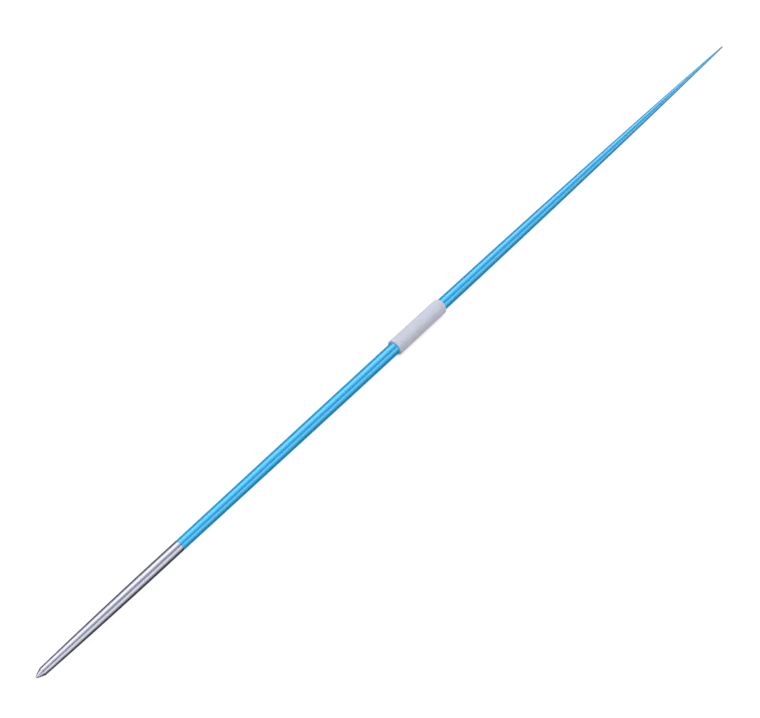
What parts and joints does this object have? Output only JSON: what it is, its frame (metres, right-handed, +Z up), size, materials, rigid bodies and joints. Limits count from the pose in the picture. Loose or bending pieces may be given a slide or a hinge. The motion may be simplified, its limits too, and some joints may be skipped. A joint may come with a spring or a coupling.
{
  "type": "javelin",
  "caption": "Throwing javelin: blunt steel head, tapered blue anodised tube shaft, corded white grip at the balance point and a plugged thin tail.",
  "frame": {"origin": "on the surface that the javelin lies on, under the middle of its grip", "axes": "+X along the shaft from the point to the tail, +Z up, +Y across"},
  "size_m": [2.25, 0.0328, 0.0325],
  "materials": {
    "point_steel": "polished",
    "head_steel": "polished",
    "slug_brass": "satin",
    "shaft_anodised": "gloss",
    "plug_beech": "matte",
    "grip_tape": "matte",
    "grip_cord": "matte",
    "tail_metal": "satin"
  },
  "bodies": {
    "root": {"point": "point_steel", "head_sleeve": "head_steel", "balance_slug": "slug_brass", "shaft": "shaft_anodised", "neck_plug": "plug_beech", "grip_tape": "grip_tape", "grip_cord": "grip_cord", "tail_plug": "tail_metal"}
  },
  "joints": []
}
